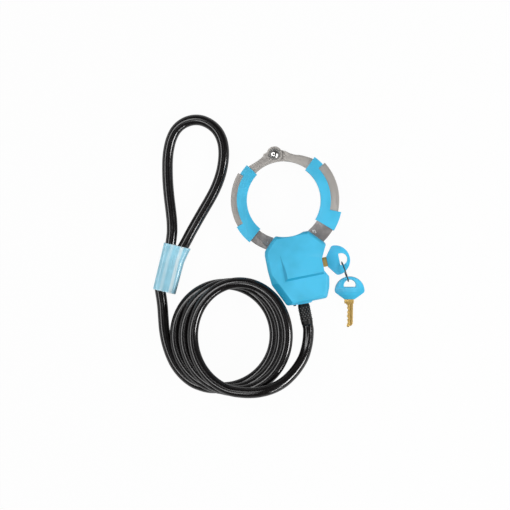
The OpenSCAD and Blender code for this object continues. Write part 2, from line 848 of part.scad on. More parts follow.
// The sleeve narrows a little to its foot and flares to its head on one side
sleeve_foot_w = sleeve_w - 0.8;
flare_l = 14;
slice = 0.2;
sleeve_parts = [[-sleeve_l / 2, sleeve_foot_w, sleeve_l / 2 - flare_l, sleeve_w],
  [sleeve_l / 2 - flare_l - slice, sleeve_w, sleeve_l / 2, sleeve_flare_w]];
module sleeve_form(d, run_out) {
  for (i = [0, 1]) hull() {
    sleeve_slice(sleeve_parts[i][0] - (1 - i) * run_out, sleeve_parts[i][1], d);
    sleeve_slice(sleeve_parts[i][2] - slice + i * run_out, sleeve_parts[i][3], d);
  }
}

module sleeve_slice(v, w, d) {
  in_ferrule(v) translate([(w - sleeve_w) / 2, 0, 0]) linear_extrude(slice)
    for (s = [-1, 1]) translate([s * (w - sleeve_t) / 2, 0]) circle(d = sleeve_t - 2 * d, $fn = 32);
}

module ferrule_sleeve() {
  color(sleeve_blue) difference() {
    sleeve_form(0, 0);
    sleeve_form(sleeve_wall, past);
  }
}

// ---- Cable ----

cable_r = cable_d / 2;
lying_z = floor_z + cable_r;
tube_sides = 12;

// One closed tube of triangles along pts[first] to pts[end], none of whose stretches stands upright.
// Each ring faces the way its two neighbours point, so that tubes along one list meet face to face.
function along(pts, i) = unit(pts[min(i + 1, len(pts) - 1)] - pts[max(i - 1, 0)]);
module tube(pts, r, first, end) {
  rings = [for (i = [first : end])
    let(t = along(pts, i), side = unit(cross(t, [0, 0, 1])), up = cross(side, t))
    for (k = [0 : tube_sides - 1]) pts[i] + r * (cos(360 * k / tube_sides) * side
      + sin(360 * k / tube_sides) * up)];
  last = len(rings) - tube_sides;
  walls = [for (i = [0 : end - first - 1], k = [0 : tube_sides - 1])
    let(a = i * tube_sides + k, b = i * tube_sides + (k + 1) % tube_sides)
    each [[a, b, a + tube_sides], [b, b + tube_sides, a + tube_sides]]];
  caps = [for (k = [1 : tube_sides - 2]) each [[0, k + 1, k], [last, last + k, last + k + 1]]];
  polyhedron(points = rings, faces = concat(walls, caps));
}

function path_length(pts) = sum([for (i = [1 : len(pts) - 1]) norm(pts[i] - pts[i - 1])]);

// The coil: three turns that drift sideways, each lying a layer above the one before it.
// u counts the turns from the coil's lower end; a layer is climbed in the second half of each turn.
coil_turns = 3;
rings_a_turn = 24;
coil_lean = -11.5;
coil_centre = [-82.4, -112.1];
coil_drift = 7.1;
coil_radius = [48.8, 48.1];
coil_growth = [-1.4, 0.8];
layer_lift = cable_d + 0.6;
function climb(f) = f < 0.5 ? 0 : (1 - cos(360 * (f - 0.5))) / 2;
function coil_layer(u) = floor(u) + climb(u - floor(u));
function lean(p) = [p[0] * cos(coil_lean) - p[1] * sin(coil_lean),
  p[0] * sin(coil_lean) + p[1] * cos(coil_lean)];
function coil_point(u) =
  let(r = coil_radius + coil_growth * u, p = coil_centre
    + lean([coil_drift * u + r[0] * sin(360 * u), -r[1] * cos(360 * u)]))
  [p[0], p[1], lying_z + layer_lift * coil_layer(u)];
coil_tail = lean([cable_d, 0]);
coil_start = coil_point(coil_turns) + [coil_tail[0], coil_tail[1], 0];
coil_finish = coil_point(0) - [coil_tail[0], coil_tail[1], 0];
coil_steps = coil_turns * rings_a_turn;
coil_points = concat([coil_start], [for (i = [0 : coil_steps]) coil_point(coil_turns - i / rings_a_turn)],
  [coil_finish]);

// The least gap of the coil to itself, between places at least half a turn apart
gap_steps = 72;
coil_gap = min([for (i = [0 : coil_turns * gap_steps], j = [i + gap_steps / 2 : 1 : coil_turns * gap_steps])
  norm(coil_point(j / gap_steps) - coil_point(i / gap_steps))]) - cable_d;
echo(least_gap_of_the_coil_to_itself = coil_gap);

// From the case, down the boot and over the earlier turns
lead_in = 3;
boot_end = [-cable_x, -case_end - boot_l, 0];
lead_route = [boot_end + [0, lead_in, 0], boot_end, boot_end - [0, 4, 0], [-2.4, -126, 0.4],
  [-4, -131.5, 1.3], [-6.9, -138.5, 2.8], [-11.2, -146, 5.2], [-17.5, -153, 8.2], [-25.5, -159.5, 11.8],
  [-34.5, -164.5, 15.6], [-44, -167.3, 18.7], [-53, -168.2, 20.3]];

// From the coil's lower end, round on the table and up to the ferrule
run_route = [[-109, -154, -11], [-116.5, -149, -11], [-123.2, -141.2, -11], [-128.5, -131.3, -11],
  [-131.6, -120, -11], [-133, -108, -11], [-132.9, -97, -11], [-131.7, -86, -11], [-130.4, -76.5, -10.6],
  [-129.6, -68, -10.1]];

// The eye, from the ferrule and back into it
eye_route = [[-107.6, -8, -10.4], [-105.8, 2, -11], [-104.8, 12, -11],
  [-104, 22, -11], [-103, 32, -11], [-101.8, 41, -11], [-100.2, 50, -11], [-98.2, 59, -11],
  [-95.3, 68, -11], [-91, 77, -11], [-85, 84.5, -11], [-77.2, 89, -11], [-68.5, 90.3, -11],
  [-60, 88.3, -11], [-52.6, 83, -11], [-47.6, 76, -11], [-45.2, 68, -11], [-45, 60, -11],
  [-46.6, 51, -11], [-50, 41, -11], [-54.8, 31.5, -11], [-61, 22.2, -11], [-68.2, 13.5, -11],
  [-75.8, 5, -11], [-83.3, -3.5, -10.8], [-90.6, -12, -10.2], [-96.6, -19.4, -9.9]];

// The cable's whole line from the case to the ferrule, and that of the eye. Both run straight for a
// short way where the ferrule takes them, and the points inside the ferrule only give the direction.
straight_in = [4, 6.5, 1];
cable_points = concat(lead_route, coil_points, run_route,
  [for (v = [-1, 0, 1]) at_ferrule(strand_places[0], v * straight_in[0] - crimp_l / 2)]);
coil_first = len(lead_route);
coil_last = coil_first + len(coil_points) - 1;
run_last = len(cable_points) - 2;
eye_points = concat(
  [for (v = [-1, 0, 1]) at_ferrule(strand_places[0], v * straight_in[1] + crimp_l / 2)], eye_route,
  [for (v = [1, 0, -1]) at_ferrule(strand_places[1], v * straight_in[2] + crimp_l / 2)]);
echo(cable_length = path_length(cable_points) + path_length(eye_points)
  - lead_in - sum(straight_in) + 2 * crimp_l);

module cable_lead() {
  color(vinyl_black) tube(cable_points, cable_r, 1, coil_first);
}

module cable_coil() {
  color(vinyl_black) tube(cable_points, cable_r, coil_first, coil_last);
}

module cable_run() {
  color(vinyl_black) tube(cable_points, cable_r, coil_last, run_last);
}

module cable_eye() {
  color(vinyl_black) tube(eye_points, cable_r, 1, len(eye_points) - 2);
}

// Turns +Z into -Y, on the cable's line through the case
module on_cable_line(y) {
  translate([-cable_x, y, 0]) rotate([90, 0, 0]) children();
}

boot_flange_t = 1.4;
boot_flange_r = boot_d / 2 + 1.6;
boot_chamfer = 1.2;
boot_rings = 6;
boot_root = -case_end + cover_wall + boot_flange_t;
module cable_boot() {
  groove_pitch = (boot_l - 5) / boot_rings;
  color(vinyl_black) difference() {
    union() {
      on_cable_line(boot_root) cylinder(r = boot_flange_r, h = boot_flange_t);
      on_cable_line(boot_root)
        cylinder(r = boot_d / 2, h = cover_wall + boot_flange_t + boot_l - boot_chamfer);
      on_cable_line(-case_end - boot_l + boot_chamfer)
        cylinder(r1 = boot_d / 2, r2 = boot_d / 2 - 0.3, h = boot_chamfer);
    }
    on_cable_line(boot_root + past) cylinder(r = strand_d / 2 + seat_gap, h = far);
    for (i = [0 : boot_rings - 1]) on_cable_line(-case_end - 2.4 - i * groove_pitch) difference() {
      cylinder(r = boot_d, h = groove_pitch * 0.35);
      translate([0, 0, -past]) cylinder(r = boot_d / 2 - 0.35, h = far);
    }
  }
}

anchor_r = 7;
anchor_y = [-91.9, -78.5];
module cable_anchor() {
  color(zinc_grey) difference() {
    union() {
      on_cable_line(anchor_y[1]) cylinder(r1 = anchor_r - 1, r2 = anchor_r, h = 1);
      on_cable_line(anchor_y[1] - 1) cylinder(r = anchor_r, h = anchor_y[1] - anchor_y[0] - 1);
    }
    on_cable_line(anchor_y[1] + past) cylinder(r = strand_d / 2, h = far);
  }
}

module cable_core() {
  color(steel_grey) on_cable_line(anchor_y[1] + 1)
    cylinder(r = strand_d / 2, h = anchor_y[1] + 1 - boot_end[1]);
}

// The pocket for the anchor, the boot's flange and the cable's end
module anchor_pocket() {
  on_cable_line(anchor_y[1] + 1.4) cylinder(r = strand_d / 2 + pass_gap, h = 3);
  on_cable_line(anchor_y[1] + seat_gap)
    cylinder(r = anchor_r + seat_gap, h = anchor_y[1] - anchor_y[0] + seat_gap);
  on_cable_line(anchor_y[0] + past) cylinder(r = cable_r + seat_gap, h = far);
  on_cable_line(boot_root + seat_gap) cylinder(r = boot_flange_r + seat_gap, h = far);
}

// ---- What is drawn ----

front_cover();
rear_cover();
case_front();
case_rear();
case_screws();
screw_plug();
cylinder_barrel();
cylinder_plug();
key_pins();
driver_pins();
pin_springs();
plug_clip();
cam();
locking_bolt();
fixed_arm();
swing_arm();
fixed_arm_bumper();
swing_arm_bumper();
hinge_rivet();
hinge_washers();
fixed_arm_pins();
cable_anchor();
cable_core();
cable_boot();
cable_lead();
cable_coil();
cable_run();
cable_eye();
ferrule_crimp();
ferrule_strands();
ferrule_sleeve();
key_blade();
key_bow();
key_ring();
spare_key_blade();
spare_key_bow();
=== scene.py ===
"""A cuff-type cable lock: its finishes, its cable and its moulded pieces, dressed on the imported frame.

Lengths are in metres, except in the cable's line and in the sleeve's form, which are in the
millimetres of the part's source. All pieces are made in the frame's own axes: the cuff's centre is
the origin, +Y points to the cuff's hinge, +X to the key, +Z up from the table.
"""

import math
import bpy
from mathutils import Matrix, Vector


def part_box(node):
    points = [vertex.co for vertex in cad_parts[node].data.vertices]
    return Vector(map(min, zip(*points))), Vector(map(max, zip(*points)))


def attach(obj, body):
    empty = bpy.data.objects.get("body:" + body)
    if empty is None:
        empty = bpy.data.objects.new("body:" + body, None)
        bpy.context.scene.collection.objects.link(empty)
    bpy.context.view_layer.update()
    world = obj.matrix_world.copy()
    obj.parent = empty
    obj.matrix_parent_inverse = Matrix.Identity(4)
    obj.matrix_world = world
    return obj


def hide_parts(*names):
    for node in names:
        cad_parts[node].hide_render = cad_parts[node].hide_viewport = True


bl_info = {
    "name": "Cuff Cable Lock",
    "version": (1, 0, 0),
    "blender": (4, 5, 0),
    "location": "View3D > Sidebar > Cable Lock",
    "description": "Dresses the frame of a cuff-type cable lock",
    "category": "Object",
}

import bmesh
import bpy
from mathutils import Matrix, Vector

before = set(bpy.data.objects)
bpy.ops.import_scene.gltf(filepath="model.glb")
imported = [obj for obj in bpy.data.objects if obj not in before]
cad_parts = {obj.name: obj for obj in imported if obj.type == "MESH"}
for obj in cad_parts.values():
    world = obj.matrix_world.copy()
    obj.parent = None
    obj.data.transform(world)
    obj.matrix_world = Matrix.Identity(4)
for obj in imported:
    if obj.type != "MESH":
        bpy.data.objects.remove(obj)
MM = 0.001
SKY = (0.05, 0.50, 0.78)


# ---------------------------------------------------------------- properties


def length_setting(name, about, default):
    return bpy.props.FloatProperty(name=name, description=about, default=default, unit="LENGTH")


def colour_setting(name, about, default):
    return bpy.props.FloatVectorProperty(
        name=name, description=about, size=3, default=default, subtype="COLOR"
    )


def count_setting(name, about, default):
    return bpy.props.IntProperty(name=name, description=about, default=default)


class LOCK_PG_cable(bpy.types.PropertyGroup):
    diameter: length_setting("Diameter", "Cable over its vinyl cover", 0.010)
    sides: count_setting("Sides", "Faces round the cable", 40)
    colour: colour_setting("Vinyl", "Colour of the cover", (0.0035, 0.0027, 0.0030))
    lay: length_setting("Lay", "Length of one turn of the strand under the cover", 0.034)


class LOCK_PG_boot(bpy.types.PropertyGroup):
    radius: length_setting("Radius", "Boot outside its groove", 0.0054)
    length: length_setting("Length", "Boot outside the case", 0.021)
    rows: count_setting("Rows", "Rows of grip studs along the boot", 7)
    round: count_setting("Round", "Grip studs round the boot", 11)


class LOCK_PG_sleeve(bpy.types.PropertyGroup):
    length: length_setting("Length", "Sleeve over the ferrule", 0.0446)
    width: length_setting("Width", "Sleeve across both cables", 0.0224)
    colour: colour_setting("Sleeve", "Colour of the sleeve", (0.33, 0.68, 0.84))


class LOCK_PG_case(bpy.types.PropertyGroup):
    colour: colour_setting("Plastic", "Colour of the covers and bumpers", SKY)
    edge: length_setting("Edge", "Rounding of moulded edges", 0.0005)


class LOCK_PG_metal(bpy.types.PropertyGroup):
    arm: colour_setting("Arm steel", "Satin steel of the arms", (0.50, 0.475, 0.45))
    bare: colour_setting("Bare steel", "Unplated steel below the collars", (0.40, 0.375, 0.365))
    brass: colour_setting("Brass", "Brass of the key blades", (0.66, 0.45, 0.15))


# ---------------------------------------------------------------- materials


class Wire:
    """A shader socket that can be used in an expression."""

    def __init__(self, bench, socket):
        self.bench, self.socket = bench, socket

    def _with(self, operation, *others):
        return self.bench.node("ShaderNodeMath", {"operation": operation}, [self, *others])

    def __add__(self, other):
        return self._with("ADD", other)

    def __sub__(self, other):
        return self._with("SUBTRACT", other)

    def __mul__(self, other):
        return self._with("MULTIPLY", other)

    def __truediv__(self, other):
        return self._with("DIVIDE", other)

    def __gt__(self, other):
        return self._with("GREATER_THAN", other)

    def __lt__(self, other):
        return self._with("LESS_THAN", other)

    __radd__ = __add__
    __rmul__ = __mul__

    def __rsub__(self, other):
        return -self + other

    def __neg__(self):
        return self * -1.0

    def sin(self):
        return self._with("SINE")

    def abs(self):
        return self._with("ABSOLUTE")

    def root(self):
        return self._with("SQRT")

    def most(self, other):
        return self._with("MAXIMUM", other)

    def step(self, low, high):
        """0 below low, 1 above high and a smooth rise between."""
        settings = {"interpolation_type": "SMOOTHSTEP"}
        limits = {"Value": self, "From Min": low, "From Max": high}
        return self.bench.node("ShaderNodeMapRange", settings, limits)


class Bench:
    """Builds one material or world: adds nodes, links what is given as wires and sets the rest."""

    def __init__(self, owner):
        owner.use_nodes = True
        self.tree = owner.node_tree
        self.tree.nodes.clear()

    def node(self, kind, settings=None, inputs=None, out=0):
        n = self.tree.nodes.new(kind)
        for key, value in (settings or {}).items():
            setattr(n, key, value)
        pairs = enumerate(inputs) if isinstance(inputs, list) else (inputs or {}).items()
        for key, value in pairs:
            self.give(n.inputs[key], value)
        return Wire(self, n.outputs[out]) if len(n.outputs) else None

    def give(self, socket, value):
        """Links a wire to the socket, or sets the socket to a plain value."""
        if isinstance(value, Wire):
            self.tree.links.new(value.socket, socket)
        elif socket.type == "RGBA":
            socket.default_value = (*value, 1.0)
        else:
            socket.default_value = value

    def normal(self):
        """The x, y and z of the surface's direction."""
        return self.parts(self.node("ShaderNodeNewGeometry", out=1))

    def ray(self, kind):
        """1 for rays of one kind, such as Camera."""
        n = self.tree.nodes.new("ShaderNodeLightPath")
        return Wire(self, n.outputs[f"Is {kind} Ray"])

    def place(self):
        return self.node("ShaderNodeTexCoord", out=3)

    def parts(self, vector):
        """The x, y and z of a vector."""
        n = self.tree.nodes.new("ShaderNodeSeparateXYZ")
        self.tree.links.new(vector.socket, n.inputs[0])
        return [Wire(self, o) for o in n.outputs]

    def stretched(self, vector, x, y, z):
        return self.node("ShaderNodeVectorMath", {"operation": "MULTIPLY"}, [vector, (x, y, z)])

    def noise(self, vector, scale, detail=2.0, roughness=0.5):
        values = {"Vector": vector, "Scale": scale, "Detail": detail, "Roughness": roughness}
        return self.node("ShaderNodeTexNoise", None, values)

    def mix(self, factor, a, b):
        n = self.tree.nodes.new("ShaderNodeMix")
        n.data_type = "RGBA"
        for place, value in ((0, factor), (6, a), (7, b)):
            self.give(n.inputs[place], value)
        return Wire(self, n.outputs[2])

    def bump(self, height, strength, distance):
        values = {"Height": height, "Strength": strength, "Distance": distance}
        return self.node("ShaderNodeBump", None, values)

    def surface(self, **values):
        """Ends the material in one Principled shader."""
        inputs = {name.replace("_", " "): value for name, value in values.items()}
        shader = self.node("ShaderNodeBsdfPrincipled", None, inputs)
        self.node("ShaderNodeOutputMaterial", None, {"Surface": shader})


def finish(make):
    """Makes a finish the first time its name is asked for, and finds it again after that."""

    def found(name, *values, **more):
        material = bpy.data.materials.get(name)
        if not material:
            material = bpy.data.materials.new(name)
            make(Bench(material), *values, **more)
        return material

    return found


def shade(colour, factor, lift=0.0):
    """A colour made darker or lighter by a factor, and lifted a little towards white."""
    return tuple(min(1.0, c * factor + lift) for c in colour)


# The raised plate with its bevels, and the levels above which they and the case's facet begin
PLATE_LEFT, PLATE_RIGHT, PLATE_END = -0.0152, 0.0225, -0.0756
LEFT_BEVEL_END, LOWER_BEVEL_END = -0.0100, -0.0700
CASE_TOP, BEVEL_FOOT, FACET_FOOT, FACET_END = 0.0150, 0.0158, 0.0060, -0.0745


def plate_painted_shade(b, at):
    """1 on the left and lower bevels of the case's raised plate, and less on the lower left facet and beside
    the
    left bevel: painted shade on the faces turned away from the lamps, and beside them."""
    x, y, z = b.parts(at)
    side, end, upright = b.normal()
    plate = (x > PLATE_LEFT) * (x < PLATE_RIGHT) * (y > PLATE_END) * (z > BEVEL_FOOT)
    bevel = plate * (x < LEFT_BEVEL_END).most(y < LOWER_BEVEL_END) * (1.0 - upright.step(0.90, 0.97))
    # Painted shade: a soft band on the face beside the left bevel, and the facet that faces the lower left.
    beside = x.step(-0.0170, -0.0138) * (1.0 - x.step(-0.0118, -0.0108))
    beside = beside * y.step(-0.0765, -0.0735) * (1.0 - y.step(-0.0640, -0.0550)) * (z > CASE_TOP)
    facet = (side * -0.9 + end * -0.43).step(0.45, 0.65) * (y < FACET_END) * (z > FACET_FOOT)
    return bevel.most(beside * 0.55).most(facet * 0.7)


def bow_painted_shade(b, at):
    """1 on the rounded edges of a key's bow that face away from the light, which are painted a darker blue as
    shade.
    """
    side, end, _ = b.normal()
    return (side * -0.9 + end * -0.3).step(0.10, 0.45)


@finish
def moulded(b, colour, gloss, shading=None, shade_colour=(0.006, 0.33, 0.56)):
    """Satin injection-moulded plastic: fine spark texture, slow colour drift, faint handling marks.
    Where the mask function given returns 1, the colour becomes the darker colour given last: painted shade."""
    at = b.place()
    slow = b.noise(at, 45.0)
    fine = b.noise(at, 2600.0, 2.0, 0.6)
    marks = b.noise(b.stretched(at, 300.0, 1400.0, 300.0), 1.0, 3.0).step(0.62, 0.8)
    tint = b.mix(slow.step(0.3, 0.7), shade(colour, 0.9), shade(colour, 1.06, 0.01))
    tint = b.mix(marks * 0.10, tint, (0.55, 0.80, 0.92))
    # Painted shade: the mask's places take the darker colour.
    if shading:
        tint = b.mix(shading(b, at), tint, shade_colour)
    b.surface(
        Base_Color=tint,
        Roughness=(fine - 0.5) * 0.12 + marks * 0.08 + gloss,
        Normal=b.bump(fine, 0.35, 0.00004),
    )


# Where the bare steel of the swing arm is nicked, beside the case
NICKS = (0.0216, -0.0339)


@finish
def arm_steel(b, metal):
    """Satin steel brushed round the cuff, and darker bare steel below the collars, with painted shade towards
    the cuff's left side and at the bare steel's outer edge.
    """
    at = b.place()
    x, y, _ = b.parts(at)
    radius = (x * x + y * y).root()
    turn = b.node("ShaderNodeMath", {"operation": "ARCTAN2"}, [x, y])
    grain = b.noise(b.node("ShaderNodeCombineXYZ", None, [radius * 2400.0, turn * 5.4, 0.0]), 1.0, 3.0, 0.6)
    blotch = b.noise(at, 130.0, 3.0)
    plated = b.mix(grain, shade(metal.arm, 0.88), shade(metal.arm, 1.08))
    # Painted shade: the plated steel darkens towards the cuff's left side.
    plated = b.mix((-x / radius).step(0.4, 1.0) * 0.45, plated, shade(metal.arm, 0.5))
    rolled = b.mix(blotch.step(0.3, 0.75), shade(metal.bare, 0.72), shade(metal.bare, 1.25))
    aside, below = x - NICKS[0], y - NICKS[1]
    near = 1.0 - (aside * aside + below * below).root().step(0.0008, 0.0034)
    flecks = b.noise(b.stretched(at, 900.0, 500.0, 900.0), 1.0)
    nicks = (flecks + near * 0.20 - 0.70).step(0.0, 0.04)
    rolled = b.mix(nicks * 0.8, rolled, (0.9, 0.88, 0.86))
    # Painted shade: the bare steel darkens at its outer edge.
    rolled = b.mix(radius.step(0.040, 0.052) * 0.55, rolled, shade(metal.bare, 0.4))
    bare = (-y / radius).step(0.50, 0.58)
    b.surface(
        Base_Color=b.mix(bare, plated, rolled),
        Metallic=1.0,
        Roughness=grain * 0.10 + blotch * 0.10 + bare * 0.04 + 0.46,
        Normal=b.bump(grain, 0.25, 0.00003),
    )


@finish
def machined(b, colour, rough, scale=1800.0):
    """Metal with fine tool lines along Y and a slow drift in tone."""
    at = b.place()
    lines = b.noise(b.stretched(at, scale, scale * 0.12, scale), 1.0, 3.0)
    slow = b.noise(at, 160.0)
    b.surface(
        Base_Color=b.mix(slow.step(0.25, 0.75), shade(colour, 0.86), tuple(colour)),
        Metallic=1.0,
        Roughness=lines * 0.16 + rough,
        Normal=b.bump(lines, 0.15, 0.00002),
    )


@finish
def rubber(b, colour, rough):
    """Dull black rubber with a little dust on it."""
    at = b.place()
    dust = b.noise(at, 420.0, 3.0)
    b.surface(
        Base_Color=b.mix(dust.step(0.45, 0.8), colour, shade(colour, 2.2, 0.01)),
        Roughness=dust * 0.2 + rough,
        Specular_IOR_Level=0.3,
        Normal=b.bump(b.noise(at, 3200.0), 0.4, 0.00004),
    )


@finish
def cable_vinyl(b, cable):
    """Glossy black vinyl drawn over a laid strand, whose turns show faintly under the cover."""
    u, v, _ = b.parts(b.node("ShaderNodeUVMap", {"uv_map": "lay"}))
    strand = ((u * 6.0 + v / cable.lay) * (2 * math.pi)).sin()
    at = b.place()
    dust = b.noise(at, 220.0, 3.0)
    scuff = b.noise(at, 700.0, 3.0).step(0.66, 0.78)
    b.surface(
        Base_Color=b.mix(dust.step(0.4, 0.8), tuple(cable.colour), shade(cable.colour, 1.9, 0.002)),
        Roughness=dust * 0.04 + scuff * 0.03 + 0.15,
        Specular_IOR_Level=0.75,
        Normal=b.bump(strand, 0.03, 0.00002),
    )


@finish
def sleeve_plastic(b, sleeve):
    """Glossy shrunk sleeve, light blue and a little cloudy, with a pale band along each cable's ridge, partly
    the stretched plastic's own paler tone and partly painted highlight, and paler at its rims."""
    at = b.place()
    cloud = b.noise(at, 90.0)
    ripple = b.noise(at, 380.0)
    x, y, _ = b.parts(at)
    aside, below = x - FERRULE.x * MM, y - FERRULE.y * MM
    cos, sin = math.cos(FERRULE_TURN), math.sin(FERRULE_TURN)
    across, along = aside * cos + below * sin, below * cos - aside * sin
    across = across - (along - 0.008).most(0.0) * 0.10
    # Painted highlight: a pale band along the ridge over each cable, the right one brighter; partly the
    # stretched plastic's paler tone.
    left = 1.0 - (across + 0.0040).abs().step(0.0006, 0.0024)
    right = 1.0 - (across - 0.0050).abs().step(0.0009, 0.0022)
    rim = 1.0 - (along.abs() - sleeve.length / 2).abs().step(0.0002, 0.0012)
    tint = b.mix(cloud.step(0.3, 0.7), shade(sleeve.colour, 0.92), shade(sleeve.colour, 1.06, 0.01))
    tint = b.mix(left * 0.35 + right * 0.75 + rim * 0.35, tint, (0.80, 0.93, 0.97))
    b.surface(
        Base_Color=tint,
        Roughness=ripple * 0.06 + 0.26,
        Specular_IOR_Level=0.6,
        Coat_Weight=0.4,
        Coat_Roughness=0.15,
        Normal=b.bump(ripple, 0.05, 0.0001),
    )


# ---------------------------------------------------------------- making pieces


def mesh_piece(name, points, faces, material, shading=True):
    mesh = bpy.data.meshes.new(name)
    mesh.from_pydata([tuple(p) for p in points], [], faces)
    mesh.materials.append(material)
    mesh.validate()
    if shading:
        mesh.polygons.foreach_set("use_smooth", [True] * len(mesh.polygons))
    piece = bpy.data.objects.new(name, mesh)
    bpy.context.scene.collection.objects.link(piece)
    return piece


def settle(piece):
    """The piece's modifiers become its mesh."""
    graph = bpy.context.evaluated_depsgraph_get()
    mesh = bpy.data.meshes.new_from_object(piece.evaluated_get(graph), depsgraph=graph)
    piece.modifiers.clear()
    piece.data = mesh
    return piece


def face_outward(piece):
    bm = bmesh.new()
    bm.from_mesh(piece.data)
    bmesh.ops.recalc_face_normals(bm, faces=bm.faces)
    bm.to_mesh(piece.data)
    bm.free()


def crease(mesh, degrees):
    mesh.polygons.foreach_set("use_smooth", [True] * len(mesh.polygons))
    mesh.set_sharp_from_angle(angle=math.radians(degrees))


def softened(name, node, body, material, edge, segments=2):
    """A copy of a CAD node with its corners rounded, standing for that node."""
    bm = bmesh.new()
    bm.from_mesh(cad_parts[node].data)
    same_point, flat = 2e-6, math.radians(0.4)
    bmesh.ops.remove_doubles(bm, verts=bm.verts, dist=same_point)
    bmesh.ops.dissolve_limit(bm, angle_limit=flat, verts=bm.verts, edges=bm.edges)
    mesh = bpy.data.meshes.new(name)
    bm.to_mesh(mesh)
    bm.free()
    mesh.materials.append(material)
    piece = bpy.data.objects.new(name, mesh)
    bpy.context.scene.collection.objects.link(piece)
    bevel = piece.modifiers.new("rounded corners", "BEVEL")
    bevel.width, bevel.segments, bevel.limit_method = edge, segments, "ANGLE"
    bevel.angle_limit, bevel.use_clamp_overlap = math.radians(32), True
    settle(piece)
    crease(piece.data, 38)
    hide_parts(node)
    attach(piece, body)


def paint(node, material):
    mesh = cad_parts[node].data
    mesh.materials.clear()
    mesh.materials.append(material)


def smooth_path(points, step):
    """A curve through the points, cut into lengths of about step."""
    pts = [2 * points[0] - points[1], *points, 2 * points[-1] - points[-2]]
    out = []
    for i in range(1, len(pts) - 2):
        a, p, q, z = pts[i - 1 : i + 3]
        n = max(1, round((q - p).length / step))
        for k in range(n):
            t = k / n
            bend = 2 * a - 5 * p + 4 * q - z
            out.append((2 * p + (q - a) * t + bend * t * t + (3 * p - a - 3 * q + z) * t * t * t) / 2)
    return out + [points[-1]]


def path_length(path):
    return sum((q - p).length for p, q in zip(path, path[1:]))


def tube_faces(rings, sides, closed):
    """Quads between rings of points, and between the last ring and the first where it is closed."""
    faces = []
    for i in range(rings if closed else rings - 1):
        j = (i + 1) % rings
        for k in range(sides):
            n = (k + 1) % sides
            faces.append((i * sides + k, i * sides + n, j * sides + n, j * sides + k))
    return faces


def cable_tube(name, path, radius, sides, material):
    """A round tube along a path, with a map of turns round it and metres along it."""
    points, along = [], [0.0]
    for i, p in enumerate(path):
        ahead = (path[min(i + 1, len(path) - 1)] - path[max(i - 1, 0)]).normalized()
        side = ahead.cross(Vector((0, 0, 1))).normalized()
        over = side.cross(ahead)
        for k in range(sides):
            a = 2 * math.pi * k / sides
            points.append(p + radius * (math.cos(a) * side + math.sin(a) * over))
    for p, q in zip(path, path[1:]):
        along.append(along[-1] + (q - p).length)
    last = (len(path) - 1) * sides
    ends = [tuple(reversed(range(sides))), tuple(range(last, last + sides))]
    piece = mesh_piece(name, points, tube_faces(len(path), sides, False) + ends, material)
    face_outward(piece)
    layer = piece.data.uv_layers.new(name="lay")
    for face in piece.data.polygons:
        places = [v % sides for v in face.vertices]
        wraps = len(places) == 4 and max(places) - min(places) > 1
        for loop, v, place in zip(face.loop_indices, face.vertices, places):
            turn = 1.0 if wraps and place == 0 else place / sides
            layer.data[loop].uv = (turn, along[v // sides])
    return piece


def revolved(name, profile, sides, axis, material):
    """A closed turned piece: profile is (radius, height) pairs, axis a matrix that takes +Z to its line."""
    points = []
    for r, h in profile:
        for k in range(sides):
            a = 2 * math.pi * k / sides
            points.append(axis @ Vector((r * math.cos(a), r * math.sin(a), h)))
    piece = mesh_piece(name, points, tube_faces(len(profile), sides, True), material)
    face_outward(piece)
    return piece


# ---------------------------------------------------------------- the cable's line


# In millimetres, as in the part's source
# The cable's middle, where it lies on the table
LYING = -11.0
FERRULE = Vector((-116.0, -41.0, -9.8))
FERRULE_TURN = math.radians(-25)
STRANDS = (-5.0, 5.4)
CRIMP = 32.0
# How far the cable runs straight into and out of the ferrule
STRAIGHT_IN, EYE_OUT, EYE_IN = 4.0, 6.5, 1.0
COIL_TURNS = 3
COIL_STEPS = 24
COIL_LEAN = math.radians(-11.5)
COIL_CENTRE = Vector((-82.4, -112.1, 0))
COIL_RADIUS = (48.8, 48.1)
# What each turn adds: to the two radii, sideways, and in height
COIL_GROWTH = (-1.4, 0.8)
COIL_DRIFT = 7.1
COIL_LIFT = 10.6


def at_ferrule(w, v, z=0.0):
    """The place w across the ferrule, v along it and z above its middle."""
    c, s = math.cos(FERRULE_TURN), math.sin(FERRULE_TURN)
    return FERRULE + Vector((w * c - v * s, w * s + v * c, z))


def lean(x, y):
    c, s = math.cos(COIL_LEAN), math.sin(COIL_LEAN)
    return Vector((x * c - y * s, x * s + y * c, 0))


def coil_point(u):
    """Where the coil is after u turns from its lower end."""
    part = u - math.floor(u)
    climb = 0 if part < 0.5 else (1 - math.cos(2 * math.pi * (part - 0.5))) / 2
    a = 2 * math.pi * u
    wide, tall = (r + grows * u for r, grows in zip(COIL_RADIUS, COIL_GROWTH))
    p = COIL_CENTRE + lean(COIL_DRIFT * u + wide * math.sin(a), -tall * math.cos(a))
    p.z = LYING + COIL_LIFT * (math.floor(u) + climb)
    return p


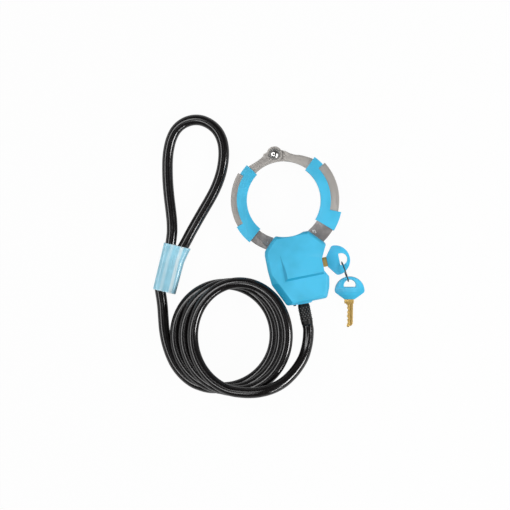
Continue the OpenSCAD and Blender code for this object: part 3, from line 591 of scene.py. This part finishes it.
LEAD = (
    (-1.4, -117.3, 0), (-1.4, -121.3, 0), (-2.4, -126, 0.4), (-4, -131.5, 1.3), (-6.9, -138.5, 2.8),
    (-11.2, -146, 5.2), (-17.5, -153, 8.2), (-25.5, -159.5, 11.8), (-34.5, -164.5, 15.6), (-44, -167.3, 18.7),
    (-53, -168.2, 20.3),
)
RUN = (
    (-109, -154, -11), (-116.5, -149, -11), (-123.2, -141.2, -11), (-128.5, -131.3, -11), (-131.6, -120, -11),
    (-133, -108, -11), (-132.9, -97, -11), (-131.7, -86, -11), (-130.4, -76.5, -10.6), (-129.6, -68, -10.1),
)
EYE = (
    (-107.6, -8, -10.4), (-105.8, 2, -11), (-104.8, 12, -11), (-104, 22, -11), (-103, 32, -11),
    (-101.8, 41, -11), (-100.2, 50, -11), (-98.2, 59, -11), (-95.3, 68, -11), (-91, 77, -11),
    (-85, 84.5, -11), (-77.2, 89, -11), (-68.5, 90.3, -11), (-60, 88.3, -11), (-52.6, 83, -11),
    (-47.6, 76, -11), (-45.2, 68, -11), (-45, 60, -11), (-46.6, 51, -11), (-50, 41, -11),
    (-54.8, 31.5, -11), (-61, 22.2, -11), (-68.2, 13.5, -11), (-75.8, 5, -11), (-83.3, -3.5, -10.8),
    (-90.6, -12, -10.2), (-96.6, -19.4, -9.9),
)


BOOT_X = LEAD[0][0] * MM


def cable_route():
    tail = lean(10, 0)
    coil = [coil_point(COIL_TURNS - i / COIL_STEPS) for i in range(COIL_TURNS * COIL_STEPS + 1)]
    return [
        *map(Vector, LEAD), coil[0] + tail, *coil, coil[-1] - tail, *map(Vector, RUN),
        at_ferrule(STRANDS[0], -CRIMP / 2 - STRAIGHT_IN), at_ferrule(STRANDS[0], -CRIMP / 2),
    ]


def eye_route():
    return [
        at_ferrule(STRANDS[0], CRIMP / 2), at_ferrule(STRANDS[0], CRIMP / 2 + EYE_OUT), *map(Vector, EYE),
        at_ferrule(STRANDS[1], CRIMP / 2 + EYE_IN), at_ferrule(STRANDS[1], CRIMP / 2),
    ]


# ---------------------------------------------------------------- operators


CENTRE = Vector((-0.0362, -0.0444, 0.0))
WHITE = (1.0, 1.0, 1.0)


class LOCK_OT_stage(bpy.types.Operator):
    """Camera, lamps, world and floor"""

    bl_idname = "lock.stage"
    bl_label = "Stage"

    def execute(self, context):
        scene = context.scene
        scene.view_settings.view_transform = "Standard"
        self.camera(scene)
        self.world(scene)
        self.lamps(scene)
        self.floor()
        return {"FINISHED"}

    def camera(self, scene):
        """Looks straight down from a distance, a little turned."""
        distance, field = 1.9, 0.4723
        data = bpy.data.cameras.new("camera")
        data.sensor_width = 36
        data.lens = data.sensor_width * distance / field
        camera = bpy.data.objects.new("camera", data)
        scene.collection.objects.link(camera)
        camera.location = CENTRE + Vector((0, 0, distance))
        camera.rotation_euler = (0, 0, math.radians(-11.5))
        scene.camera = camera

    def world(self, scene):
        """White to the eye. To the lock it is dark but for a hoop overhead, open towards the key's side,
        which gives the cable its light lines, and a faint glow near the floor."""
        world = bpy.data.worlds.new("studio")
        scene.world = world
        b = Bench(world)
        x, y, z = b.parts(b.node("ShaderNodeTexCoord", out=0))
        right, up = x * 0.98 - y * 0.199 + 0.35, x * 0.199 + y * 0.98
        ring = (right * right + up * up).root()
        hoop = ring.step(0.36, 0.39) - ring.step(0.51, 0.54)
        hoop = hoop * (1.0 - right.step(0.30, 0.42)) * z.step(0.0, 0.1)
        low = 1.0 - z.step(0.0, 0.5)
        strength = low * 0.20 + hoop * (right.step(-0.4, 0.3) * 1.5 + 4.4) + 0.07
        glow = b.node("ShaderNodeBackground", None, {"Color": WHITE, "Strength": strength})
        white = b.node("ShaderNodeBackground", None, {"Color": WHITE, "Strength": 1.0})
        shader = b.node("ShaderNodeMixShader", None, [b.ray("Camera"), glow, white])
        b.node("ShaderNodeOutputWorld", None, {"Surface": shader})

    def lamps(self, scene):
        distance = 1.3
        for name, way, size, watts in (
            ("right box", (0.917, -0.398, 0.70), (0.50, 0.26), 8.4),
            ("low strip", (0.87, -1.4, 0.8), (0.50, 0.10), 3.0),
        ):
            data = bpy.data.lights.new(name, "AREA")
            data.shape, data.size, data.size_y, data.energy = "RECTANGLE", *size, watts
            lamp = bpy.data.objects.new(name, data)
            scene.collection.objects.link(lamp)
            toward = Vector(way).normalized()
            lamp.location = CENTRE + toward * distance
            lamp.rotation_euler = toward.to_track_quat("Z", "Y").to_euler()

    def floor(self):
        """A pale sheet just below the lock, which shows its shadow and is near white to the eye."""
        material = bpy.data.materials.new("floor")
        b = Bench(material)
        seen = b.ray("Camera").most(b.ray("Transmission")) * 0.97
        seen = seen.most(b.ray("Glossy") * 0.25)
        card = b.node("ShaderNodeBsdfDiffuse", None, {"Color": (0.62, 0.62, 0.62)})
        glow = b.node("ShaderNodeEmission", None, {"Color": WHITE, "Strength": 1.0})
        shader = b.node("ShaderNodeMixShader", None, [seen, card, glow])
        b.node("ShaderNodeOutputMaterial", None, {"Surface": shader})
        half = 4.0
        z = min(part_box(node)[0].z for node in ("rear_cover", "cable_coil")) - 0.0002
        corners = [(-half, -half, z), (half, -half, z), (half, half, z), (-half, half, z)]
        mesh_piece("floor", corners, [(0, 1, 2, 3)], material, False)


class LOCK_OT_cable(bpy.types.Operator):
    """The vinyl-covered cable: the stretch from the case through the coil to the ferrule, and the eye"""

    bl_idname = "lock.cable"
    bl_label = "Cable"

    def execute(self, context):
        cable = context.scene.lock_cable
        step = 1.5
        cable_path = [p * MM for p in smooth_path(cable_route(), step)]
        eye_path = [p * MM for p in smooth_path(eye_route(), step)]
        coiled = self.tube("cable", cable_path, cable, "cable_lead", "cable_coil", "cable_run")
        loop = self.tube("eye", eye_path, cable, "cable_eye")
        path_length(cable_path)
        path_length(eye_path)
        return {"FINISHED"}

    def tube(self, name, path, cable, *nodes):
        vinyl = cable_vinyl("cable vinyl", cable)
        piece = cable_tube(name, path, cable.diameter / 2, cable.sides, vinyl)
        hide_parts(*nodes)
        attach(piece, "root")
        return piece


class LOCK_OT_sleeve(bpy.types.Operator):
    """The shrunk sleeve over the ferrule, which shows the two cables in it as two ridges"""

    bl_idname = "lock.sleeve"
    bl_label = "Sleeve"

    def execute(self, context):
        sleeve = context.scene.lock_sleeve
        sides, wall = 96, 0.95
        half = sleeve.length / MM / 2
        # The outside runs from foot to head: rolled ends, a long plain stretch and a lip near the head
        foot_roll, head_roll, plain_rows = 1.2, 2.2, 20
        outside = [-half, -half + 0.35, -half + foot_roll]
        plain = 2 * half - foot_roll - head_roll
        outside += [-half + foot_roll + plain * k / plain_rows for k in range(1, plain_rows + 1)]
        outside += [half - 1.5, half - 0.9, half - 0.35, half]
        rows = []
        for v in outside:
            lip = 0.35 * max(0.0, 1 - abs(v - (half - 0.9)) / 0.8)
            edge = 0.35 if v in (-half, half) else 0.0
            rows.append((v, lip - edge))
        rows += [(v, -wall) for v in (half, half - 4, 0.0, -half + 4, -half)]
        points = []
        for v, out in rows:
            points += self.section(sleeve, v, out, sides)
        material = sleeve_plastic("sleeve plastic", sleeve)
        faces = tube_faces(len(rows), sides, True)
        piece = mesh_piece("sleeve", [p * MM for p in points], faces, material)
        face_outward(piece)
        crease(piece.data, 50)
        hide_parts("ferrule_sleeve")
        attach(piece, "root")
        return {"FINISHED"}

    def section(self, sleeve, v, out, sides):
        """One ring of the sleeve: a squarish oval whose top and bottom dip between the two cables."""
        thick, roundness, dip, dip_width = 6.15, 0.70, 0.20, 2.2
        flare, flare_length, taper = 2.9, 14, 0.8
        half = sleeve.length / MM / 2
        wide = sleeve.width / MM
        past = v - (half - flare_length)
        grown = flare * max(0.0, past / flare_length)
        grown -= taper * max(0.0, -past / (2 * half - flare_length))
        ring = []
        for k in range(sides):
            a = 2 * math.pi * k / sides
            x, z = math.cos(a), math.sin(a)
            w = ((wide + grown) / 2 + out) * math.copysign(abs(x) ** roundness, x)
            h = (thick + out) * math.copysign(abs(z) ** roundness, z)
            h *= 1.0 - dip * math.exp(-((w / dip_width) ** 2))
            ring.append(at_ferrule(grown / 2 + w, v, h))
        return ring


class LOCK_OT_boot(bpy.types.Operator):
    """The rubber boot where the cable leaves the case, with its grip studs"""

    bl_idname = "lock.boot"
    bl_label = "Boot"

    def execute(self, context):
        boot = context.scene.lock_boot
        axis = Matrix.Translation((BOOT_X, 0, 0)) @ Matrix.Rotation(math.radians(90), 4, "X")
        low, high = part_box("cable_boot")
        start, end = -high.y, -low.y
        face = end - boot.length
        r, bore, flange, flange_thick, groove = boot.radius, 0.0031, boot.radius + 0.0016, 0.0014, 0.0003
        profile = [
            (bore, start), (flange, start), (flange, start + flange_thick), (r, start + flange_thick),
            (r, face + 0.0008), (r - groove, face + 0.0015), (r - groove, face + 0.0023), (r, face + 0.0029),
            (r, end - 0.0030), (r - 0.0001, end - 0.0014), (r - 0.0003, end - 0.0004), (r - 0.0006, end),
            (bore, end),
        ]
        black = rubber("boot rubber", (0.004, 0.0035, 0.0035), 0.34)
        piece = revolved("boot", profile, 48, axis, black)
        crease(piece.data, 35)
        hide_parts("cable_boot")
        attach(piece, "root")
        # The studs are a paler grey than the boot: painted highlight standing in for the glints on their
        # small domes.
        grey = rubber("stud rubber", (0.075, 0.075, 0.075), 0.30)
        self.studs(boot, face + 0.0048, end - 0.0045, grey)
        return {"FINISHED"}

    def studs(self, boot, start, end, material):
        """Rows of small domes sunk a little in the boot, each row half a step round from the one before."""
        sunk = 0.0004
        tree = bpy.data.node_groups.new("grip studs", "GeometryNodeTree")
        board = tree.interface
        board.new_socket("Geometry", in_out="INPUT", socket_type="NodeSocketGeometry")
        sizes = {
            "Rows": ("NodeSocketInt", boot.rows), "Round": ("NodeSocketInt", boot.round),
            "Radius": ("NodeSocketFloat", boot.radius - sunk), "Start": ("NodeSocketFloat", start),
            "End": ("NodeSocketFloat", end), "Stud": ("NodeSocketFloat", 0.0008),
            "Aside": ("NodeSocketFloat", BOOT_X),
        }
        names = {}
        for name, (kind, value) in sizes.items():
            item = board.new_socket(name, in_out="INPUT", socket_type=kind)
            item.default_value = value
            names[name] = item.identifier
        board.new_socket("Geometry", in_out="OUTPUT", socket_type="NodeSocketGeometry")
        nodes, links = tree.nodes, tree.links

        def add(kind, settings=None, inputs=None):
            n = nodes.new(kind)
            for key, value in (settings or {}).items():
                setattr(n, key, value)
            for key, value in (inputs or {}).items():
                if isinstance(value, bpy.types.NodeSocket):
                    links.new(value, n.inputs[key])
                else:
                    n.inputs[key].default_value = value
            return n

        def sums(operation, a, b):
            return add("ShaderNodeMath", {"operation": operation}, {0: a, 1: b}).outputs[0]

        given = nodes.new("NodeGroupInput").outputs
        count = sums("MULTIPLY", given["Rows"], given["Round"])
        index = nodes.new("GeometryNodeInputIndex").outputs[0]
        row = sums("FLOOR", sums("DIVIDE", index, given["Round"]), 0.0)
        turn = sums("ADD", sums("MODULO", index, given["Round"]), sums("MULTIPLY", row, 0.5))
        angle = sums("MULTIPLY", sums("DIVIDE", turn, given["Round"]), 2 * math.pi)
        share = sums("DIVIDE", row, sums("SUBTRACT", given["Rows"], 1.0))
        run = sums("SUBTRACT", given["End"], given["Start"])
        y = sums("MULTIPLY", sums("ADD", given["Start"], sums("MULTIPLY", share, run)), -1.0)
        x = sums("ADD", sums("MULTIPLY", sums("COSINE", angle, 0.0), given["Radius"]), given["Aside"])
        z = sums("MULTIPLY", sums("SINE", angle, 0.0), given["Radius"])
        place = add("ShaderNodeCombineXYZ", None, {0: x, 1: y, 2: z}).outputs[0]
        points = add("GeometryNodePoints", None, {"Count": count, "Position": place}).outputs[0]
        dome = {"Radius": given["Stud"], "Subdivisions": 2}
        stud = add("GeometryNodeMeshIcoSphere", None, dome).outputs[0]
        laid = {"Points": points, "Instance": stud}
        many = add("GeometryNodeInstanceOnPoints", None, laid).outputs[0]
        real = add("GeometryNodeRealizeInstances", None, {0: many}).outputs[0]
        coated = {"Geometry": real, "Material": material}
        done = add("GeometryNodeSetMaterial", None, coated).outputs[0]
        links.new(done, nodes.new("NodeGroupOutput").inputs[0])
        piece = bpy.data.objects.new("boot_studs", bpy.data.meshes.new("boot_studs"))
        bpy.context.scene.collection.objects.link(piece)
        modifier = piece.modifiers.new("grip studs", "NODES")
        modifier.node_group = tree
        for name, (_, value) in sizes.items():
            modifier[names[name]] = value
        settle(piece)
        piece.data.polygons.foreach_set("use_smooth", [True] * len(piece.data.polygons))
        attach(piece, "root")


class LOCK_OT_case(bpy.types.Operator):
    """The two moulded covers of the lock case"""

    bl_idname = "lock.case"
    bl_label = "Case"

    def execute(self, context):
        case = context.scene.lock_case
        # Painted shade: the plate's left and lower bevels, a band beside the left bevel and the lower left
        # facet take a darker blue.
        blue = moulded("cover plastic", case.colour, 0.46, plate_painted_shade)
        for side in ("front", "rear"):
            softened(side + "_shell", side + "_cover", "root", blue, case.edge)
        return {"FINISHED"}


class LOCK_OT_cuff(bpy.types.Operator):
    """The two steel arms, their bumpers, the rivet and its washers"""

    bl_idname = "lock.cuff"
    bl_label = "Cuff"

    def execute(self, context):
        scene = context.scene
        satin = arm_steel("arm steel", scene.lock_metal)
        blue = moulded("bumper plastic", scene.lock_case.colour, 0.42)
        for arm, body in (("fixed_arm", "root"), ("swing_arm", "swing_arm")):
            softened(arm + "_steel", arm, body, satin, 0.0008)
            softened(arm + "_pad", arm + "_bumper", body, blue, 0.0006)
        paint("hinge_rivet", machined("rivet steel", (0.80, 0.80, 0.78), 0.14))
        paint("hinge_washers", machined("washer steel", (0.36, 0.36, 0.35), 0.24))
        return {"FINISHED"}


class LOCK_OT_keys(bpy.types.Operator):
    """The key in the lock, the spare key and the ring that joins them"""

    bl_idname = "lock.keys"
    bl_label = "Keys"

    def execute(self, context):
        scene = context.scene
        sky = shade(scene.lock_case.colour, 1.04)
        # Painted shade: the bow's edges that face away from the light take a darker blue.
        blue = moulded("bow plastic", sky, 0.34, bow_painted_shade, (0.004, 0.12, 0.19))
        brass = machined("key brass", scene.lock_metal.brass, 0.38)
        for key in ("key", "spare_key"):
            softened(key + "_grip", key + "_bow", key, blue, 0.0009, 3)
            softened(key + "_brass", key + "_blade", key, brass, 0.00012)
        paint("key_ring", machined("ring steel", (0.14, 0.14, 0.14), 0.3))
        return {"FINISHED"}


class LOCK_OT_works(bpy.types.Operator):
    """What is inside the case and the ferrule, and the fasteners"""

    bl_idname = "lock.works"
    bl_label = "Works"

    def execute(self, context):
        brass = machined("cylinder brass", context.scene.lock_metal.brass, 0.3)
        zinc = machined("die-cast zinc", (0.33, 0.335, 0.34), 0.5, 700.0)
        plain = machined("machined steel", (0.42, 0.42, 0.42), 0.34)
        dark = machined("blackened steel", (0.12, 0.12, 0.125), 0.4)
        for material, nodes in (
            (brass, ("cylinder_barrel", "cylinder_plug", "key_pins")),
            (zinc, ("case_front", "case_rear", "cable_anchor", "ferrule_crimp")),
            (plain, ("locking_bolt", "driver_pins", "pin_springs", "cable_core", "ferrule_strands", "cam")),
            (dark, ("case_screws", "fixed_arm_pins", "plug_clip")),
            (rubber("stopper rubber", (0.02, 0.02, 0.02), 0.4), ("screw_plug",)),
        ):
            for node in nodes:
                paint(node, material)
        return {"FINISHED"}


class LOCK_PT_panel(bpy.types.Panel):
    """Lists the pieces of the lock"""

    bl_label = "Cable Lock"
    bl_idname = "LOCK_PT_panel"
    bl_space_type = "VIEW_3D"
    bl_region_type = "UI"
    bl_category = "Cable Lock"

    def draw(self, context):
        for operator in OPERATORS:
            self.layout.operator(operator.bl_idname)
        for name in GROUPS:
            group = getattr(context.scene, name)
            box = self.layout.box()
            for key in group.__annotations__:
                box.prop(group, key)


GROUPS = {
    "lock_cable": LOCK_PG_cable,
    "lock_boot": LOCK_PG_boot,
    "lock_sleeve": LOCK_PG_sleeve,
    "lock_case": LOCK_PG_case,
    "lock_metal": LOCK_PG_metal,
}
OPERATORS = (
    LOCK_OT_stage, LOCK_OT_sleeve, LOCK_OT_boot, LOCK_OT_cable, LOCK_OT_case, LOCK_OT_cuff, LOCK_OT_keys,
    LOCK_OT_works,
)


def register():
    for kind in (*GROUPS.values(), *OPERATORS, LOCK_PT_panel):
        bpy.utils.register_class(kind)
    for name, group in GROUPS.items():
        setattr(bpy.types.Scene, name, bpy.props.PointerProperty(type=group))


def unregister():
    for name in GROUPS:
        delattr(bpy.types.Scene, name)
    for kind in reversed((*GROUPS.values(), *OPERATORS, LOCK_PT_panel)):
        bpy.utils.unregister_class(kind)


def main():
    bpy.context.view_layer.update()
    register()
    for operator in OPERATORS:
        group, name = operator.bl_idname.split(".")
        getattr(getattr(bpy.ops, group), name)()


if __name__ == "__main__":
    main()
